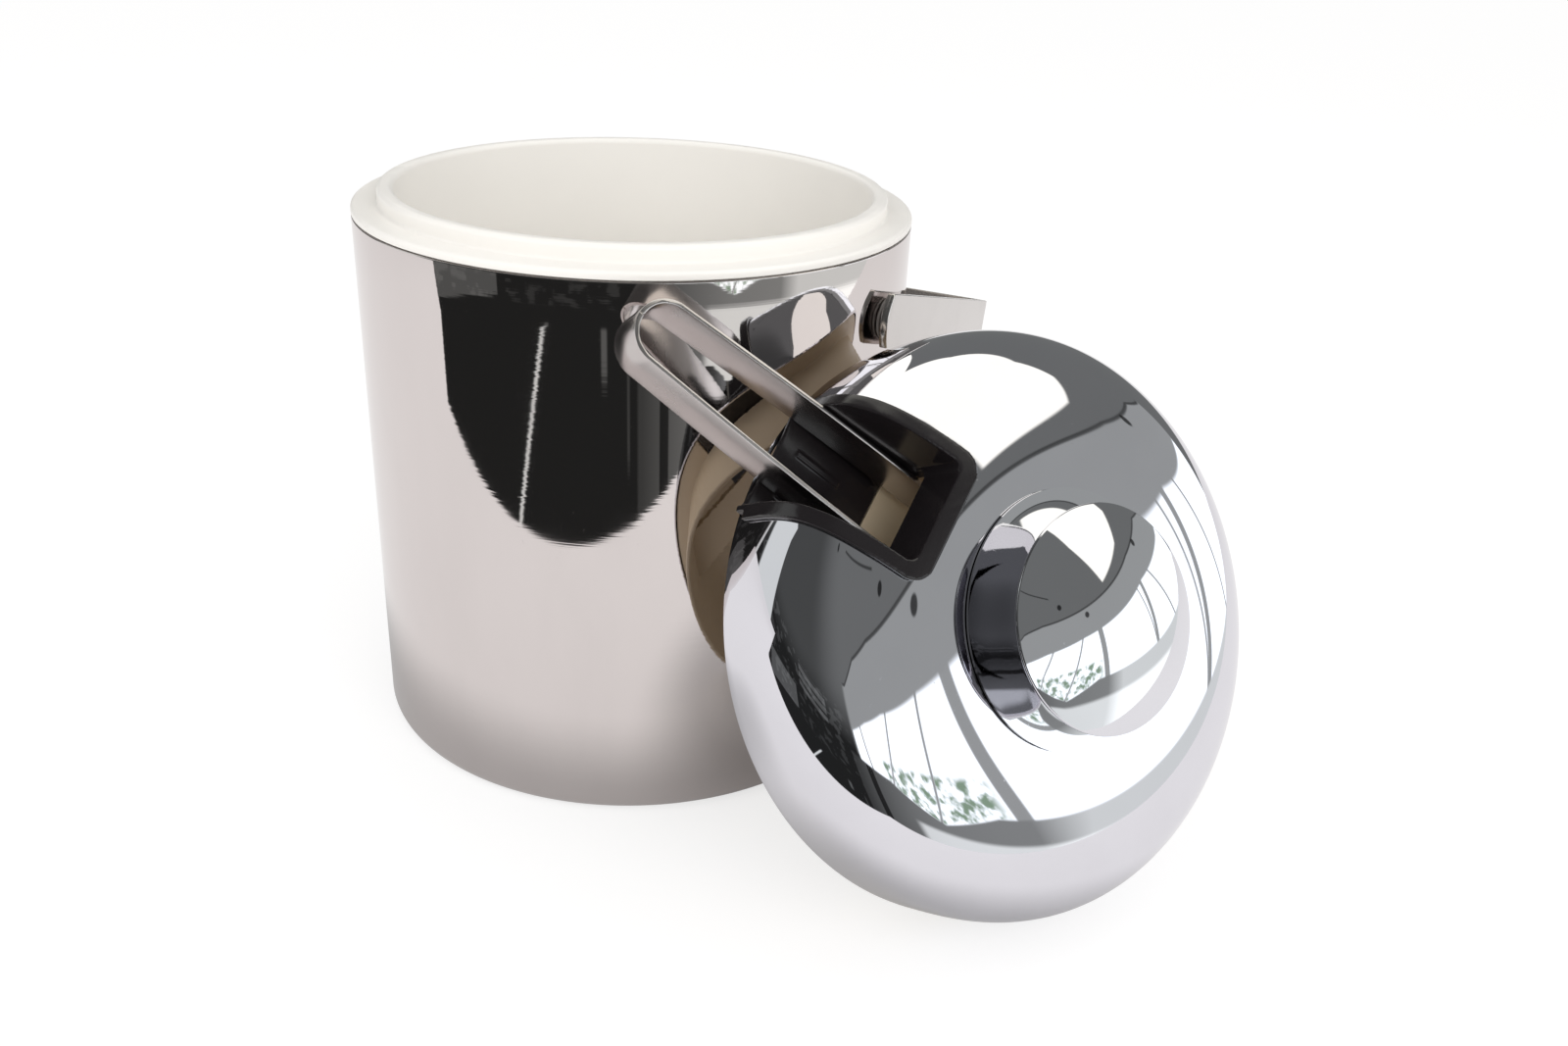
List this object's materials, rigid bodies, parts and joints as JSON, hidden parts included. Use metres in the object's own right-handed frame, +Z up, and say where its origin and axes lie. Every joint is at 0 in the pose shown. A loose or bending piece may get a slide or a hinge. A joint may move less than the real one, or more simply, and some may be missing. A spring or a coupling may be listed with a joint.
{
  "type": "ice bucket with tongs",
  "caption": "Insulated steel ice bucket with a strap bail, its domed knobbed lid leaning on its rim in front, and spring strip tongs lying in the lid's notch.",
  "frame": {"origin": "centre of the bucket's flat underside, on the surface it stands on", "axes": "+Z up along the bucket's axis; -Y towards the viewer; +X to the viewer's right, where the lid leans"},
  "size_m": [0.2231, 0.2479, 0.1485],
  "materials": {
    "mirror_steel": "mirror polish",
    "satin_steel": "satin",
    "white_plastic": "semi-gloss",
    "tan_plastic": "semi-gloss",
    "black_plastic": "gloss",
    "foam": "cellular, matt",
    "grey_pad": "matt",
    "acetal": "satin"
  },
  "bodies": {
    "bucket": {"outer_shell": "mirror_steel", "base_pad": "grey_pad", "inner_liner": "white_plastic", "bucket_insulation": "foam", "bail_bush_left": "acetal", "bail_bush_right": "acetal"},
    "bail": {"bail_handle": "satin_steel", "bail_stud_left": "satin_steel", "bail_stud_right": "satin_steel", "bail_clip_left": "satin_steel", "bail_clip_right": "satin_steel"},
    "lid": {"lid_dome": "mirror_steel", "lid_liner": "tan_plastic", "lid_insulation": "foam", "notch_insert": "black_plastic", "knob_neck": "mirror_steel", "knob_cap": "mirror_steel", "knob_screw": "satin_steel", "knob_washer": "satin_steel"},
    "tongs": {"tong_bow": "satin_steel"},
    "upper_arm": {"tong_arm_upper": "satin_steel"},
    "lower_arm": {"tong_arm_lower": "satin_steel"}
  },
  "joints": [
    {"name": "bail_hinge", "type": "hinge", "parent": "bucket", "child": "bail", "pos_m": [0, 0, 0.1234], "axis": [0.866, -0.5, 0], "range_deg": [0, 105]},
    {"name": "lid_lift_off", "type": "slide", "parent": "bucket", "child": "lid", "axis": [0.4718, -0.8817, 0], "range_m": [0, 0.15]},
    {"name": "tongs_draw_out", "type": "slide", "parent": "lid", "child": "tongs", "axis": [-0.8084, 0.0288, 0.5879], "range_m": [0, 0.12]},
    {"name": "upper_arm_squeeze", "type": "hinge", "parent": "tongs", "child": "upper_arm", "pos_m": [0.00782, -0.08276, 0.13773], "axis": [-0.3465, 0.7842, -0.5148], "range_deg": [0, 3.2], "stiffness_Nm_per_rad": 4.5},
    {"name": "lower_arm_squeeze", "type": "hinge", "parent": "tongs", "child": "lower_arm", "pos_m": [0.0008, -0.09136, 0.12935], "axis": [0.3465, -0.7842, 0.5148], "range_deg": [0, 3.2], "stiffness_Nm_per_rad": 4.5}
  ],
  "couplings": [
    {"joint": "lower_arm_squeeze", "follows": "upper_arm_squeeze", "ratio": 1}
  ]
}
